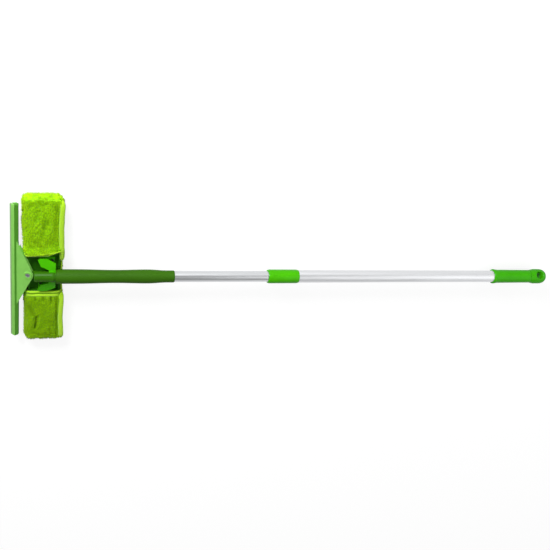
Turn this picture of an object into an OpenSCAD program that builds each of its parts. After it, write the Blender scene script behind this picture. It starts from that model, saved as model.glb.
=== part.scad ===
// Window scrubber: a squeegee and a microfibre scrubber on a telescopic pole.
// Millimetres. The origin is the middle of the scrubber's working face.
// X runs along the pole to its free end, Y along the squeegee, Z away from the glass.

/* [Scrubber] */
// Width of the sleeve along the pole
sleeve_w = 62; // [50:1:80]
// Length of the sleeve across the pole
sleeve_l = 280; // [220:1:340]
// Thickness of the sleeve from the working face to its back
sleeve_h = 26; // [24:0.5:28]
// Thickness of the pile and cloth on every side
sleeve_wall = 6.5; // [5:0.5:7]
// Radius of the sleeve's soft corners
sleeve_r = 9; // [6:0.5:10]
// Rise of the sleeve's back at its middle
sleeve_crown = 1.2; // [0:0.1:2]
// Width of the cut-out in the sleeve's back
cutout_l = 70; // [66:1:80]
// Height of the sleeve's side walls left in the cut-out
cutout_floor = 14; // [12:0.5:15]
// Thickness of the binding on the cut-out's edges
hem_t = 1.3; // [0.8:0.1:2]
// Thickness of the foam under the bar
foam_t = 4; // [3:0.5:5]
// Thickness of the scrubber bar
bar_t = 8; // [7:0.5:9]
// Thickness of the bar's floor and rim
bar_wall = 2.5; // [2:0.1:3]
// Width of the cross ribs in the bar
bar_rib = 2; // [1.5:0.5:4]
// Clear space between the grip and the bar's rim
grip_clear = 1; // [0.5:0.1:2]
// Number of hollow pockets on each side of the bar's well
bar_pockets = 3; // [1:1:5]

/* [Yoke] */
// Height of the pole's axis over the working face
axis_h = 30; // [29:0.5:34]
// Length of the yoke's saddle along the neck
ring_len = 10; // [9:0.5:12]
// Wall of the yoke's saddle
ring_wall = 2.2; // [1.8:0.1:2.6]
// Rise of the saddle's rims over the pole's axis
saddle_rise = 2; // [0:0.5:3]
// Distance from the scrubber's middle to the saddle's front face
ring_x = 7; // [5:0.5:10]
// Thickness of the yoke's wings
wing_t = 3; // [2:0.5:4]
// Reach of a wing's outer edge from the pole's axis
wing_y = 31; // [29:0.5:32]
// Reach of a wing's tip in front of the scrubber's middle
wing_tip = 10; // [6:0.5:13]
// Fall of the wings away from the neck, in degrees
wing_fall = 11; // [6:1:14]
// Thickness of the yoke's legs and feet
leg_t = 2.5; // [2:0.5:3]
// Width of a foot's screw flange
foot_w = 7; // [6:0.5:8]

/* [Squeegee] */
// Length of the squeegee bar
squeegee_l = 250; // [200:1:320]
// Clear space between the sleeve and the squeegee bar
squeegee_gap = 8.5; // [5:0.5:12]
// Tilt of the squeegee towards the glass, in degrees
squeegee_tilt = 16; // [10:1:20]
// Width of the channel, front to back
channel_w = 9.5; // [8.5:0.5:12]
// Height of the channel at its ridge
channel_h = 10; // [9:0.5:12]
// Rise of the channel's ridge over the plate's skin
ridge_h = 2.4; // [1.5:0.1:3]
// Distance from the channel's front to its ridge
ridge_in = 5; // [3:0.5:6]
// Drop of the channel's back edge below the plate's skin
back_drop = 2.2; // [1.4:0.1:2.6]
// Thickness of the rubber blade
blade_t = 2; // [1.5:0.1:2.4]
// Length of rubber that stands out of the channel
blade_out = 2.5; // [2:0.5:6]
// Radius of the bead along the rubber's root
bead_r = 2.1; // [1.8:0.1:2.2]
// Length of the stop plug at each end of the channel
stop_l = 4; // [3:0.5:6]
// Half of the triangular plate's base
plate_half = 63; // [50:1:75]
// Distance from the screw to the channel's back edge
plate_reach = 15.5; // [13:0.5:20]
// Overlap of the plate on the channel
plate_lap = 3; // [2:0.5:4]
// Radius of the plate's rounded apex round the screw
plate_r = 8.5; // [8.2:0.1:10]
// Thickness of the plate's skin
skin_t = 2.2; // [1.8:0.1:3]
// Depth of the plate's rim below the skin
rim_h = 4.6; // [4:0.1:5.4]
// Thickness of the plate's rim and ribs
rim_t = 1.8; // [1.4:0.1:2]
// Clear space between the plate and the sleeve
plate_clear = 0.8; // [0.4:0.1:1.5]
// Height of the raised boss round the screw
boss_h = 1; // [0.5:0.1:1.5]
// Drop of the plate's skin below the pole's axis at the screw
screw_drop = 5.4; // [4.5:0.1:6]

/* [Screws] */
// Diameter of the squeegee screw's shank
screw_d = 4; // [3:0.5:4.5]
// Diameter of the squeegee screw's head
screw_head_d = 7; // [6.5:0.1:7.4]
// Height of the squeegee screw's head
screw_head_h = 1.8; // [1.4:0.1:2]
// Hex nut across its flats
nut_flats = 7; // [6.5:0.1:7.4]
// Thickness of the hex nut
nut_t = 2.4; // [2:0.1:2.8]
// Diameter of the small screws' shanks
small_d = 3; // [2.5:0.1:3.2]
// Diameter of the small screws' heads
small_head_d = 5; // [4.6:0.1:5.4]
// Height of the small screws' heads
small_head_h = 1.6; // [1.2:0.1:2]

/* [Neck and handle] */
// Diameter of the neck
neck_d = 17; // [16.6:0.1:17.2]
// Clear space between the plate's apex and the neck's front end
neck_gap = 0.3; // [0.2:0.1:1]
// Height of the band round the neck that locates it in the saddle
band_h = 0.8; // [0.4:0.1:1]
// Length of the band round the neck
band_l = 4.5; // [3:0.5:5]
// Chamfer of the neck's front end
neck_chamfer = 1; // [0.5:0.5:4]
// Width of the neck's tongue
tongue_w = 12; // [10:0.5:12]
// Length of the tongue's root inside the neck
tongue_in = 6; // [4:0.5:8]
// Thickness of the neck's tongue
tongue_t = 5; // [4.4:0.1:5.6]
// Length of the spigot inside the inner tube
spigot_l = 60; // [40:1:80]
// Bore that lightens the neck
neck_bore = 10; // [8:0.5:12]
// Length of the handle grip
grip_l = 190; // [170:1:220]
// Diameter of the grip at its front
grip_front_d = 23.4; // [22.4:0.1:26]
// Diameter of the grip at its waist
grip_waist_d = 21.4; // [20.6:0.1:22.4]
// Diameter of the grip at its belly
grip_belly_d = 23.2; // [22.4:0.1:26]
// Diameter of the grip's rear rim
grip_rear_d = 20.2; // [20:0.1:21]
// Distance from the grip's front to its waist
waist_x = 93; // [80:1:100]
// Distance from the grip's front to its belly
belly_x = 146; // [140:1:156]
// Length of the slim cuff at the grip's rear
cuff_l = 11; // [6:0.5:14]
// Rounding of the grip's rear rim along the pole
cuff_round = 3; // [1:0.5:5]

/* [Pole] */
// Outside diameter of the inner tube
inner_d = 19; // [18.9:0.05:19.1]
// Outside diameter of the outer tube
outer_d = 22; // [21.9:0.05:22.4]
// Wall of both tubes
tube_wall = 0.8; // [0.7:0.05:0.85]
// Length of the inner tube
inner_l = 632; // [600:1:680]
// Length of the outer tube
outer_l = 520; // [500:1:600]
// Bare inner tube between the grip and the collar, as in the photo
pole_shown = 164; // [20:1:190]
// Length of the collar
collar_l = 56; // [45:1:70]
// Diameter of the collar
collar_d = 24.2; // [23.8:0.1:26]
// Chamfer along the collar's two ends
collar_chamfer = 3; // [1:0.5:5]
// Thickness of the collar's front lip
collar_lip = 1.5; // [1:0.1:3]
// Length of the bush inside the collar
bush_l = 14; // [10:1:20]
// Radial running gap between the bush and the inner tube
run_gap = 0.05; // [0.03:0.01:0.08]
// Radial gap of pieces that are fixed in each other
fit_gap = 0.03; // [0.02:0.01:0.06]
// Gap between faces that meet end to end
face_gap = 0.1; // [0.05:0.05:0.3]

/* [Twist lock] */
// Length of the plug's shank inside the inner tube
plug_l = 30; // [20:1:40]
// Thickness of the plug's flange
flange_t = 2; // [1.5:0.5:3]
// Diameter of the eccentric pin
cam_pin_d = 8; // [7:0.5:9]
// Offset of the eccentric pin from the tube's axis
cam_throw = 0.9; // [0.8:0.05:1]
// Length of the cam ring
cam_l = 12; // [8:1:16]
// Diameter of the cam ring
cam_d = 19; // [18.95:0.01:19.1]
// Turn of the cam ring from free to jammed, in degrees
cam_turn = 41; // [36:1:42]
// Thickness of the guide disc
disc_t = 5; // [4:0.5:8]
// Diameter of the stub that carries the guide disc
stub_d = 6; // [5:0.5:6.4]
// Radial running gap of the guide disc in the outer tube
disc_gap = 0.1; // [0.05:0.01:0.1]
// Diameter of the pins through the inner tube
rivet_d = 3; // [2.5:0.1:4]

/* [End grip] */
// Length of the end grip
end_grip_l = 82; // [70:1:110]
// Diameter of the end grip's flared lip
lip_d = 27.6; // [26:0.1:30]
// Diameter of the end grip behind the lip
end_grip_d = 25.4; // [24.4:0.1:26]
// Diameter of the end grip at its rear
end_rear_d = 24.8; // [24:0.1:25.4]
// Length of the flared lip
lip_l = 12; // [8:1:16]
// Length of the hanger cap's head
cap_l = 36.5; // [34:0.5:45]
// Diameter of the hanger cap's head
cap_d = 28.4; // [27:0.1:32]
// Length of the cap's shank inside the outer tube
cap_shank = 25; // [15:1:35]
// Diameter of the hanging hole
hole_d = 14; // [10:0.5:15]
// Depth of the flare at the hanging hole's mouths
hole_flare = 2.5; // [1:0.5:3]
// Distance from the hanging hole's centre to the cap's end
hole_in = 17; // [14:0.5:19]
// Turn of the hanging hole about the pole, in degrees
hole_turn = 45; // [0:5:90]

/* [Hidden] */
$fn = 96;
eps = 0.01;
soft_fn = 24;

// Heights of the layers inside the sleeve
foam_z = sleeve_wall + 0.3;
bar_z = foam_z + foam_t + 0.2;
bar_top = bar_z + bar_t;
floor_z = bar_z + bar_wall;
cavity_top = bar_top + 0.4;
bar_w = sleeve_w - 2 * sleeve_wall - 0.6;
bar_l = sleeve_l - 2 * sleeve_wall - 0.6;
well_l = cutout_l - 2 * hem_t - 1;

// Places along the pole
ring_end = ring_x + ring_len;
band_x = ring_x + (ring_len - band_l) / 2;
grip_x = ring_end + face_gap + 0.4;
inner_x = grip_x + 1;
inner_end = inner_x + inner_l;
grip_end = grip_x + grip_l;
collar_x = grip_end + pole_shown;
bush_x = collar_x + collar_lip + face_gap;
outer_x = bush_x + bush_l + face_gap;
outer_end = outer_x + outer_l;
end_grip_x = outer_end - end_grip_l;
cap_x = outer_end + face_gap;
cap_end = cap_x + cap_l;
hole_x = cap_end - hole_in;

// Bores of the two tubes
inner_bore = inner_d - 2 * tube_wall;
outer_bore = outer_d - 2 * tube_wall;
plug_d = inner_bore - 2 * fit_gap;

// The squeegee's own frame: its origin is on the screw, on top of the tongue
screw_x = plate_reach * cos(squeegee_tilt) - sleeve_w / 2 - squeegee_gap;
screw_z = axis_h - screw_drop;
neck_x = screw_x + plate_r + neck_gap;
channel_back = -plate_reach;
channel_front = channel_back - channel_w;
blade_tip = channel_front - blade_out;
bead_x = channel_front + bead_r + 2.6;
plate_back = plate_reach + plate_lap;

// The cam lock
flange_x = inner_end + face_gap;
cam_x = flange_x + flange_t + face_gap;
disc_x = cam_x + cam_l + face_gap + 1;
stub_end = disc_x + disc_t + face_gap;

// A round bar along X on the pole's axis
module rod(x0, x1, d) {
    translate([x0, 0, axis_h])
        rotate([0, 90, 0])
            cylinder(d = d, h = x1 - x0);
}

// A body of revolution about the pole's axis from points of distance along X and radius
module turned(pts) {
    translate([0, 0, axis_h])
        rotate([0, 90, 0])
            rotate_extrude()
                polygon([for (p = pts) [p[1], p[0]]]);
}

// A flat shape in X and Z drawn out along Y, centred on the pole
module along_y(len) {
    rotate([90, 0, 0])
        translate([0, 0, -len / 2])
            linear_extrude(len)
                children();
}

// Places its children in the squeegee's tilted frame
module squeegee_place() {
    translate([screw_x, 0, screw_z])
        rotate([0, -squeegee_tilt, 0])
            children();
}

// Both sides of the pole
module both_sides() {
    children();
    mirror([0, 1, 0])
        children();
}

// The triangular plate's outline, with its apex rounded about the screw
module plate_outline(r, half, back) {
    reach = sqrt(back * back + half * half);
    turn = atan2(half, -back) - acos(r / reach);
    circle(r = r);
    polygon([[-back, half], [r * cos(turn), r * sin(turn)],
        [r * cos(turn), -r * sin(turn)], [-back, -half]]);
}

module channel_outline() {
    ridge_x = channel_front + ridge_in;
    polygon([[channel_front, -blade_t / 2 - 1.5], [channel_front, blade_t / 2 + 1.5],
        [ridge_x, skin_t + ridge_h], [channel_back, skin_t - back_drop],
        [channel_back, -rim_h + 1.2], [ridge_x, skin_t + ridge_h - channel_h]]);
}

module bead_outline(gap) {
    translate([bead_x, 0])
        circle(r = bead_r + gap);
}

module squeegee_rubber() {
    color("#a9bf9c")
        squeegee_place() {
            along_y(squeegee_l - 2 * stop_l - 2 * face_gap)
                bead_outline(0);
            along_y(squeegee_l)
                translate([blade_tip, -blade_t / 2])
                    square([bead_x - bead_r - face_gap - blade_tip, blade_t]);
            along_y(squeegee_l - 2 * stop_l - 2 * face_gap)
                translate([blade_tip, -blade_t / 2])
                    square([bead_x - blade_tip, blade_t]);
        }
}

module rubber_stops() {
    color("#5d9b34")
        squeegee_place()
            both_sides()
                translate([bead_x, squeegee_l / 2, 0])
                    rotate([90, 0, 0])
                        cylinder(r = bead_r, h = stop_l);
}

module squeegee_frame() {
    rim_angle = atan2(plate_back + plate_r, plate_half);
    in_half = plate_half - rim_t / sin(rim_angle) - rim_t;
    color("#8fcf5f")
        squeegee_place()
            difference() {
                union() {
                    along_y(squeegee_l)
                        channel_outline();
                    translate([0, 0, -rim_h])
                        linear_extrude(rim_h + skin_t)
                            plate_outline(plate_r, plate_half, plate_back);
                    cylinder(r = plate_r - rim_t, h = skin_t + boss_h);
                }
                // hollow under the skin
                difference() {
                    translate([0, 0, -rim_h - eps])
                        linear_extrude(rim_h + eps)
                            plate_outline(plate_r - rim_t, in_half, plate_reach + eps);
                    translate([channel_back - channel_w, -squeegee_l / 2, -channel_h])
                        cube([channel_w, squeegee_l, 2 * channel_h]);
                    both_sides()
                        translate([-plate_reach - rim_t, tongue_w, -rim_h])
                            cube([plate_reach + plate_r, rim_t, rim_h + skin_t]);
                }
                // way in for the tongue
                translate([0, -tongue_w / 2 - 0.2, -rim_h - eps])
                    cube([2 * plate_r, tongue_w + 0.4, rim_h + eps]);
                // way in for the root of the rubber
                along_y(squeegee_l + 2)
                    bead_outline(0.05);
                along_y(squeegee_l + 2)
                    translate([channel_front - 1, -blade_t / 2 - 0.05])
                        square([bead_x - channel_front + 1, blade_t + 0.1]);
                // screw hole and its counterbore
                translate([0, 0, -eps])
                    cylinder(d = screw_d + 0.3, h = skin_t + boss_h + 1);
                translate([0, 0, skin_t + boss_h - screw_head_h - 0.2])
                    cylinder(d = screw_head_d + 0.4, h = screw_head_h + 1);
            }
}

module frame_screw() {
    head_z = skin_t + boss_h - screw_head_h - 0.15;
    color("#c9ccd0")
        squeegee_place()
            difference() {
                union() {
                    translate([0, 0, head_z])
                        cylinder(d = screw_head_d, h = screw_head_h);
                    translate([0, 0, -face_gap - tongue_t])
                        cylinder(d = screw_d, h = head_z + face_gap + tongue_t + eps);
                }
                // cross recess
                for (a = [0, 90])
                    rotate([0, 0, a + 20])
                        translate([-screw_head_d * 0.3, -0.5, head_z + screw_head_h * 0.4])
                            cube([screw_head_d * 0.6, 1, screw_head_h]);
            }
}

module nut_outline(gap) {
    circle(r = (nut_flats / 2 + gap) / cos(30), $fn = 6);
}

module frame_nut() {
    color("#aeb2b6")
        squeegee_place()
            translate([0, 0, -face_gap - tongue_t])
                difference() {
                    linear_extrude(nut_t)
                        nut_outline(0);
                    translate([0, 0, -eps])
                        cylinder(d = screw_d + 2 * fit_gap, h = nut_t + 2 * eps);
                }
}

module neck() {
    color("#3a6b12")
        difference() {
            union() {
                turned([[neck_x, 0], [neck_x, neck_d / 2 - neck_chamfer],
                    [neck_x + neck_chamfer, neck_d / 2], [band_x, neck_d / 2],
                    [band_x, neck_d / 2 + band_h], [band_x + band_l, neck_d / 2 + band_h],
                    [band_x + band_l, neck_d / 2], [inner_x - face_gap, neck_d / 2],
                    [inner_x - face_gap, plug_d / 2], [inner_x + spigot_l, plug_d / 2],
                    [inner_x + spigot_l, 0]]);
                squeegee_place()
                    translate([0, -tongue_w / 2, -face_gap - tongue_t])
                        cube([plate_r + neck_gap + tongue_in, tongue_w, tongue_t]);
                squeegee_place()
                    translate([0, 0, -face_gap - tongue_t])
                        cylinder(d = tongue_w, h = tongue_t);
            }
            rod(ring_end, inner_x + spigot_l + 1, neck_bore);
            squeegee_place()
                translate([0, 0, -2 * tongue_t])
                    cylinder(d = screw_d + 0.3, h = 3 * tongue_t - 1);
            squeegee_place()
                translate([0, 0, -face_gap - tongue_t - eps])
                    linear_extrude(nut_t + 0.1)
                        nut_outline(0.1);
            rivet_hole(inner_x + spigot_l / 2);
            ring_screw_hole();
        }
}

// Hole through the inner tube and what is in it
module rivet_hole(x) {
    translate([x, -inner_d, axis_h])
        rotate([-90, 0, 0])
            cylinder(d = rivet_d + 2 * fit_gap, h = 2 * inner_d);
}

// Pin through the inner tube, flush with it
module tube_pin(x) {
    translate([x, -inner_d / 2 + 0.2, axis_h])
        rotate([-90, 0, 0])
            cylinder(d = rivet_d, h = inner_d - 0.4);
}

module neck_rivet() {
    color("#b9bdc1")
        tube_pin(inner_x + spigot_l / 2);
}

module plug_rivet() {
    color("#b9bdc1")
        tube_pin(inner_end - plug_l / 2);
}

ring_screw_l = ring_wall + 3.5;

module ring_screw_hole() {
    translate([ring_x + ring_len / 2, 0, axis_h - neck_d / 2 - ring_wall - 1])
        cylinder(d = small_d + 2 * fit_gap, h = ring_screw_l + 1.2);
}

module ring_screw() {
    head_z = axis_h - neck_d / 2 - ring_wall - 0.1;
    color("#b9bdc1")
        translate([ring_x + ring_len / 2, 0, head_z]) {
            cylinder(d = small_d, h = ring_screw_l);
            translate([0, 0, -small_head_h])
                cylinder(d = small_head_d, h = small_head_h);
        }
}

// One wing seen from above, before it is tilted
module wing_outline() {
    polygon([[-wing_tip, wing_y - 2.5], [-wing_tip + 3.5, wing_y], [ring_x - 2, wing_y - 1],
        [ring_end - 3, wing_y - 6], [ring_end, wing_y - 8], [ring_end, 0],
        [ring_x, 0], [ring_x - 0.6, wing_y * 0.4], [-wing_tip + 4.5, wing_y * 0.58]]);
}

// Place of the foot screws on one side
function foot_points() = [[-wing_tip + foot_w / 2 + 1, wing_y - 2 * leg_t - foot_w / 2],
    [ring_end - foot_w / 2 - 1, wing_y - 2 * leg_t - foot_w / 2]];

module yoke_side() {
    // tilted wing
    translate([0, 0, axis_h])
        rotate([-wing_fall, 0, 0])
            linear_extrude(wing_t)
                wing_outline();
    // leg below the wing's outer edge
    leg_top = axis_h - (wing_y - leg_t) * sin(wing_fall) + wing_t * 0.7;
    translate([-wing_tip + 1, wing_y - 2 * leg_t, floor_z + face_gap])
        cube([ring_x + wing_tip - 3, leg_t, leg_top - floor_z - 2]);
    // foot under the leg
    translate([-wing_tip + 1, wing_y - 2 * leg_t - foot_w, floor_z + face_gap])
        cube([ring_end + wing_tip - 2, foot_w + leg_t, leg_t]);
}

module yoke() {
    color("#4fcb10")
        difference() {
            union() {
                rod(ring_x, ring_end, neck_d + 2 * ring_wall);
                both_sides()
                    yoke_side();
            }
            rod(ring_x - 2 * wing_tip, ring_end + 1, neck_d + 2 * fit_gap);
            rod(band_x - face_gap, band_x + band_l + face_gap, neck_d + 2 * band_h + 2 * fit_gap);
            // open above the neck
            translate([ring_x - 2 * wing_tip, -neck_d / 2, axis_h])
                cube([2 * wing_tip, neck_d, neck_d]);
            translate([ring_x - 1, -neck_d / 2 - ring_wall, axis_h + saddle_rise])
                cube([ring_len + 2, neck_d + 2 * ring_wall, neck_d]);
            ring_screw_hole();
            both_sides()
                for (p = foot_points())
                    translate([p[0], p[1], floor_z])
                        cylinder(d = small_d + 0.2, h = leg_t + 1);
        }
}

module bar_screws() {
    color("#b9bdc1")
        both_sides()
            for (p = foot_points()) {
                translate([p[0], p[1], bar_z + 0.2])
                    cylinder(d = small_d, h = bar_wall + leg_t + face_gap);
                translate([p[0], p[1], floor_z + leg_t + face_gap + 0.1])
                    cylinder(d = small_head_d, h = small_head_h);
            }
}

module pad_bar() {
    pocket_y0 = well_l / 2 + bar_wall;
    pocket_run = bar_l / 2 - bar_wall - pocket_y0;
    pocket_l = (pocket_run - (bar_pockets - 1) * bar_rib) / bar_pockets;
    color("#307812")
        difference() {
            translate([-bar_w / 2, -bar_l / 2, bar_z])
                cube([bar_w, bar_l, bar_t]);
            // open well under the neck
            translate([-bar_w / 2 + bar_wall, -well_l / 2, floor_z])
                cube([bar_w - 2 * bar_wall, well_l, bar_t]);
            // room for the grip's front end in the bar's rim
            translate([0, -grip_front_d / 2 - grip_clear, axis_h - grip_front_d / 2 - grip_clear])
                cube([bar_w, grip_front_d + 2 * grip_clear, bar_t]);
            // hollow pockets in both arms
            both_sides()
                for (i = [0 : bar_pockets - 1])
                    translate([-bar_w / 2 + bar_wall, pocket_y0 + i * (pocket_l + bar_rib), floor_z])
                        cube([bar_w - 2 * bar_wall, pocket_l, bar_t]);
            both_sides()
                for (p = foot_points())
                    translate([p[0], p[1], bar_z + 0.1])
                        cylinder(d = small_d + 2 * fit_gap, h = bar_t);
        }
}

module pad_foam() {
    color("#d8dcc8")
        translate([-bar_w / 2, -bar_l / 2, foam_z])
            cube([bar_w, bar_l, foam_t]);
}

// The sleeve's outer form: flat working face, soft corners and a crowned back
module sleeve_form() {
    px = sleeve_w / 2 - sleeve_r;
    py = sleeve_l / 2 - sleeve_r;
    top = sleeve_h - sleeve_crown - sleeve_r;
    hull() {
        for (x = [-px, px], y = [-py, py], z = [sleeve_r, top])
            translate([x, y, z])
                sphere(r = sleeve_r, $fn = soft_fn);
        for (x = [-px / 2, px / 2], y = [-py * 0.85, py * 0.85])
            translate([x, y, sleeve_h - sleeve_r])
                sphere(r = sleeve_r, $fn = soft_fn);
    }
}

module scrubber_sleeve() {
    color("#8fc814")
        difference() {
            sleeve_form();
            // room for the bar and the foam
            translate([-bar_w / 2 - 0.3, -bar_l / 2 - 0.3, sleeve_wall])
                cube([bar_w + 0.6, bar_l + 0.6, cavity_top - sleeve_wall]);
            // the pile gives way under the squeegee's plate
            squeegee_place()
                translate([0, 0, -rim_h - plate_clear])
                    linear_extrude(2 * sleeve_h)
                        plate_outline(plate_r + plate_clear, plate_half + 3 * plate_clear, plate_back);
            // cut-out in the back
            translate([-sleeve_w, -cutout_l / 2, cutout_floor])
                cube([2 * sleeve_w, cutout_l, sleeve_h]);
        }
}

module sleeve_hem() {
    hem_w = sleeve_w - 2 * sleeve_r;
    color("#b4dc2c")
        both_sides()
            translate([-hem_w / 2, cutout_l / 2 - hem_t - 0.05, cavity_top])
                cube([hem_w, hem_t, sleeve_h - cavity_top - 0.3]);
}

// Radius of the grip at a distance from its front, smooth between its named sizes
function ease(a, b, t) = a + (b - a) * (1 - cos(180 * t)) / 2;
function grip_d(x) =
    x < 30 ? grip_front_d :
    x < waist_x ? ease(grip_front_d, grip_waist_d, (x - 30) / (waist_x - 30)) :
    x < belly_x ? ease(grip_waist_d, grip_belly_d, (x - waist_x) / (belly_x - waist_x)) :
    x < grip_l - cuff_l ? ease(grip_belly_d, grip_rear_d, (x - belly_x) / (grip_l - cuff_l - belly_x)) :
    grip_rear_d;

module handle_grip() {
    steps = 48;
    shape_l = grip_l - cuff_round;
    bore = inner_d / 2 + fit_gap;
    color("#396b11")
        turned(concat(
            [[grip_x, bore], [grip_x, grip_front_d / 2 - 0.6]],
            [for (i = [0 : steps])
                let (x = 0.6 + (shape_l - 0.6) * i / steps) [grip_x + x, grip_d(x) / 2]],
            [for (a = [22.5 : 22.5 : 90])
                [grip_x + shape_l + cuff_round * sin(a),
                    bore + 0.1 + (grip_rear_d / 2 - bore - 0.1) * cos(a)]],
            [[grip_end, bore]]));
}

module inner_tube() {
    color("#c4c7ca")
        difference() {
            rod(inner_x, inner_end, inner_d);
            rod(inner_x - 1, inner_end + 1, inner_bore);
            rivet_hole(inner_x + spigot_l / 2);
            rivet_hole(inner_end - plug_l / 2);
        }
}

// Places its children on the eccentric pin's axis
module cam_axis() {
    translate([0, 0, -cam_throw])
        children();
}

module cam_plug() {
    color("#2f3133")
        difference() {
            union() {
                rod(inner_end - plug_l, flange_x + eps, plug_d);
                rod(flange_x, flange_x + flange_t, inner_d - 0.3);
                cam_axis()
                    rod(flange_x + flange_t - eps, cam_x + cam_l + face_gap + 1, cam_pin_d);
                rod(disc_x - 1, stub_end, stub_d);
            }
            rivet_hole(inner_end - plug_l / 2);
            rod(disc_x - cam_l, stub_end + 1, small_d + 2 * fit_gap);
        }
}

module cam_ring() {
    color("#e0ddd2")
        difference() {
            translate([0, 0, -cam_throw + axis_h])
                rotate([cam_turn, 0, 0])
                    translate([cam_x, 0, cam_throw])
                        rotate([0, 90, 0])
                            cylinder(d = cam_d, h = cam_l);
            cam_axis()
                rod(cam_x - 1, cam_x + cam_l + 1, cam_pin_d + 2 * run_gap);
        }
}

module guide_disc() {
    color("#e0ddd2")
        difference() {
            rod(disc_x, disc_x + disc_t, outer_bore - 2 * disc_gap);
            rod(disc_x - 1, disc_x + disc_t + 1, stub_d + 2 * run_gap);
        }
}

module disc_screw() {
    color("#b9bdc1") {
        rod(disc_x - cam_l + 1, stub_end + face_gap, small_d);
        rod(stub_end + face_gap, stub_end + face_gap + small_head_h, stub_d + 3);
    }
}

module tube_collar() {
    r = collar_d / 2;
    collar_end = collar_x + collar_l;
    low = outer_d / 2 + 0.3;
    color("#4ecb08")
        turned([[collar_x, inner_d / 2 + 0.3], [collar_x, low], [collar_x + collar_chamfer, r],
            [collar_end - collar_chamfer, r], [collar_end, low],
            [collar_end, outer_d / 2 + fit_gap],
            [collar_x + collar_lip, outer_d / 2 + fit_gap],
            [collar_x + collar_lip, inner_d / 2 + 0.3]]);
}

module collar_bush() {
    color("#e0ddd2")
        difference() {
            rod(bush_x, bush_x + bush_l, outer_d);
            rod(bush_x - 1, bush_x + bush_l + 1, inner_d + 2 * run_gap);
        }
}

module outer_tube() {
    color("#d0d3d6")
        difference() {
            rod(outer_x, outer_end, outer_d);
            rod(outer_x - 1, outer_end + 1, outer_bore);
        }
}

module end_grip() {
    bore = outer_d / 2 + fit_gap;
    color("#43bb0e")
        turned([[end_grip_x, bore], [end_grip_x, lip_d / 2 - 1.2],
            [end_grip_x + 1.2, lip_d / 2], [end_grip_x + 3, lip_d / 2],
            [end_grip_x + lip_l * 0.6, end_grip_d / 2 + 0.4], [end_grip_x + lip_l, end_grip_d / 2],
            [outer_end - 0.6, end_rear_d / 2], [outer_end, end_rear_d / 2 - 0.6],
            [outer_end, bore]]);
}

module hanger_cap() {
    r = cap_d / 2;
    round_l = cap_l * 0.36;
    color("#43bb0e")
        difference() {
            union() {
                rod(outer_end - cap_shank, cap_x + 1, outer_bore - 2 * fit_gap);
                turned(concat(
                    [[cap_x, 0], [cap_x, end_rear_d / 2], [cap_x + 2, end_rear_d / 2],
                        [cap_x + cap_l * 0.3, r]],
                    [for (i = [0 : 16])
                        let (a = 90 * i / 16)
                            [cap_end - round_l + round_l * sin(a), r * (0.3 + 0.7 * pow(cos(a), 0.8))]],
                    [[cap_end, 0]]));
            }
            translate([hole_x, 0, axis_h])
                rotate([-hole_turn, 0, 0]) {
                    cylinder(d = hole_d, h = 2 * cap_d, center = true);
                    for (s = [0, 180])
                        rotate([s, 0, 0])
                            translate([0, 0, r - hole_flare])
                                cylinder(d1 = hole_d, d2 = hole_d + 2 * hole_flare + 2, h = hole_flare + 1);
                }
        }
}

squeegee_rubber();
squeegee_frame();
rubber_stops();
frame_screw();
frame_nut();
neck();
yoke();
ring_screw();
pad_bar();
bar_screws();
pad_foam();
scrubber_sleeve();
sleeve_hem();
inner_tube();
handle_grip();
neck_rivet();
cam_plug();
plug_rivet();
cam_ring();
guide_disc();
disc_screw();
tube_collar();
collar_bush();
outer_tube();
end_grip();
hanger_cap();
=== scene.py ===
import math

import bmesh
import bpy
import numpy as np
from mathutils import Matrix, Vector, kdtree, noise


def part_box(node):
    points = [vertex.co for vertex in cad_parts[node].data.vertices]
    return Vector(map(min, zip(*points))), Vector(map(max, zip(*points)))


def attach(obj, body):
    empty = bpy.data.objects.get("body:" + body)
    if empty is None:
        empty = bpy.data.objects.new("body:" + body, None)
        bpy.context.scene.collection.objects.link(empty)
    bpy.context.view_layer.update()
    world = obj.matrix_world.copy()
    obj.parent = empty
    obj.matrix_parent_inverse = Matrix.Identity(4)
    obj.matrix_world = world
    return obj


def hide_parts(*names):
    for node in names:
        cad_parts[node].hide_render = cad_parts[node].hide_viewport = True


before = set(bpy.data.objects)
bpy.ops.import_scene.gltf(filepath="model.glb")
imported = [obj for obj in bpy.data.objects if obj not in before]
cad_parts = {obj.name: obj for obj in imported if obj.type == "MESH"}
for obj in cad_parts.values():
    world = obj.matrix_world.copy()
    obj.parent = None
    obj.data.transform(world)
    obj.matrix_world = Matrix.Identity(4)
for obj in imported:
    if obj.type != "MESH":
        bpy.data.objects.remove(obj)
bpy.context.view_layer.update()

MM = 0.001

# Camera: place and axes in the row frame, in metres
CAMERA_PLACE = Vector((-0.03406, 0.73050, 1.06324))
CAMERA_RIGHT = Vector((0.94920, 0.18115, 0.25728))
CAMERA_UP = Vector((0.0, 0.81765, -0.57572))
LENS_MM = 50.0
SENSOR_MM = 36.0

# The squeegee's tilted frame, with the sizes that part.scad gives it
SQUEEGEE_TILT = math.radians(16)
PLATE_REACH = 15.5 * MM
PLATE_LAP = 3 * MM
PLATE_HALF = 63 * MM
PLATE_R = 8.5 * MM
RIM_H = 4.6 * MM
SCREW_DROP = 5.4 * MM
AXIS_H = 30 * MM
SQUEEGEE_GAP = 8.5 * MM

sleeve_low, sleeve_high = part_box("scrubber_sleeve")
sleeve_size = sleeve_high - sleeve_low
SCREW = Vector((PLATE_REACH * math.cos(SQUEEGEE_TILT) + sleeve_low.x - SQUEEGEE_GAP, 0,
                AXIS_H - SCREW_DROP))

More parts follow.
